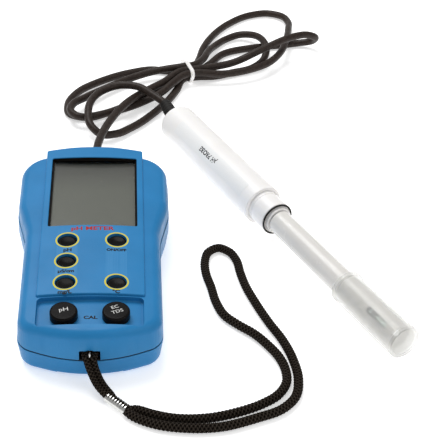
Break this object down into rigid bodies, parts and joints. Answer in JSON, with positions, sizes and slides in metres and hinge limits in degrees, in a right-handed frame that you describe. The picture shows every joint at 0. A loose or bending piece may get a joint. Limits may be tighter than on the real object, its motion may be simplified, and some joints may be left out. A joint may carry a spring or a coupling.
{
  "type": "ph meter",
  "caption": "Handheld water tester with display, round keys, calibration knobs, wrist strap and a capped probe on a looped cable.",
  "frame": {"origin": "centre of the case's flat back, on the table plane", "axes": "+X to the right of the keypad, +Y towards the display end, +Z out of the front face"},
  "size_m": [0.1992, 0.4235, 0.0361],
  "materials": {
    "blue_plastic": "fine moulded grain, slightly satin",
    "black_rubber": "matt",
    "black_plastic": "satin",
    "steel": "nickel plated",
    "brass": "machined",
    "white_plastic": "smooth",
    "label_film": "printed film",
    "milky_plastic": "translucent, smooth",
    "cable_jacket": "smooth PVC jacket, satin",
    "braided_cord": "woven",
    "red_plastic": "smooth",
    "battery_wrap": "printed metal jacket, plain",
    "circuit_board": "solder mask",
    "display_glass": "grey reflective liquid crystal display",
    "clear_plastic": "polished",
    "probe_glass": "thin blown glass"
  },
  "bodies": {
    "case": {"battery_9v": "battery_wrap", "battery_lead_black": "black_rubber", "battery_lead_red": "red_plastic", "battery_snap": "black_rubber", "case_gasket": "black_rubber", "case_screw_1": "steel", "case_screw_2": "steel", "case_screw_3": "steel", "case_screw_4": "steel", "circuit_board": "circuit_board", "controller_chip": "black_plastic", "ec_trimmer": "black_plastic", "elastomer_strip": "black_rubber", "front_shell": "blue_plastic", "key_switch_1": "black_plastic", "key_switch_2": "black_plastic", "key_switch_3": "black_plastic", "key_switch_4": "black_plastic", "key_switch_5": "black_plastic", "lcd_frame": "black_plastic", "lcd_glass": "display_glass", "ph_trimmer": "black_plastic", "probe_socket": "steel", "rear_shell": "blue_plastic", "socket_nut": "brass", "strap_pin": "steel", "window_lens": "clear_plastic"},
    "key_ph_body": {"key_ph": "black_plastic"},
    "key_conductivity_body": {"key_conductivity": "black_plastic"},
    "key_dissolved_solids_body": {"key_dissolved_solids": "black_plastic"},
    "key_power_body": {"key_power": "black_plastic"},
    "key_temperature_body": {"key_temperature": "black_plastic"},
    "ph_adjuster": {"ph_knob": "black_plastic", "ph_shaft": "brass"},
    "ec_adjuster": {"ec_knob": "black_plastic", "ec_shaft": "brass"},
    "battery_cover": {"battery_door": "blue_plastic"},
    "probe_lead": {"plug_shell": "steel", "plug_tail": "steel", "probe_cable": "cable_jacket", "cable_tie": "white_plastic", "cable_boot": "black_rubber", "probe_handle": "white_plastic", "handle_label": "label_film", "probe_collar": "white_plastic", "o_ring": "black_rubber", "probe_stem": "black_plastic", "glass_bulb": "probe_glass", "reference_junction": "white_plastic", "conductivity_pin_1": "steel", "conductivity_pin_2": "steel", "temperature_sensor": "steel"},
    "sleeve": {"probe_sleeve": "milky_plastic"},
    "cap": {"storage_cap": "milky_plastic"},
    "strap": {"strap_cord": "braided_cord", "strap_anchor": "braided_cord", "strap_crimp": "steel"}
  },
  "joints": [
    {"name": "key_ph_press", "type": "slide", "parent": "case", "child": "key_ph_body", "axis": [0, 0.045, -0.999], "range_m": [0, 0.0008]},
    {"name": "key_conductivity_press", "type": "slide", "parent": "case", "child": "key_conductivity_body", "axis": [0, 0.045, -0.999], "range_m": [0, 0.0008]},
    {"name": "key_dissolved_solids_press", "type": "slide", "parent": "case", "child": "key_dissolved_solids_body", "axis": [0, 0.045, -0.999], "range_m": [0, 0.0008]},
    {"name": "key_power_press", "type": "slide", "parent": "case", "child": "key_power_body", "axis": [0, 0.045, -0.999], "range_m": [0, 0.0008]},
    {"name": "key_temperature_press", "type": "slide", "parent": "case", "child": "key_temperature_body", "axis": [0, 0.045, -0.999], "range_m": [0, 0.0008]},
    {"name": "ph_knob_turn", "type": "hinge", "parent": "case", "child": "ph_adjuster", "pos_m": [-0.0123, -0.06, 0.03004], "axis": [0, -0.045, 0.999], "range_deg": [-135, 135]},
    {"name": "ec_knob_turn", "type": "hinge", "parent": "case", "child": "ec_adjuster", "pos_m": [0.0123, -0.06, 0.03004], "axis": [0, -0.045, 0.999], "range_deg": [-135, 135]},
    {"name": "battery_door_slide", "type": "slide", "parent": "case", "child": "battery_cover", "axis": [0, -1, 0], "range_m": [0, 0.024]},
    {"name": "plug_pull", "type": "slide", "parent": "case", "child": "probe_lead", "axis": [0, 1, 0], "range_m": [0, 0.014]},
    {"name": "sleeve_slide", "type": "slide", "parent": "probe_lead", "child": "sleeve", "axis": [0.4512, -0.8924, 0], "range_m": [0, 0.03]},
    {"name": "cap_pull", "type": "slide", "parent": "sleeve", "child": "cap", "axis": [0.4512, -0.8924, 0], "range_m": [0, 0.05]},
    {"name": "strap_swing", "type": "hinge", "parent": "case", "child": "strap", "pos_m": [0, -0.0734, 0.0156], "axis": [0, 0, -1], "range_deg": [-5, 20]}
  ]
}
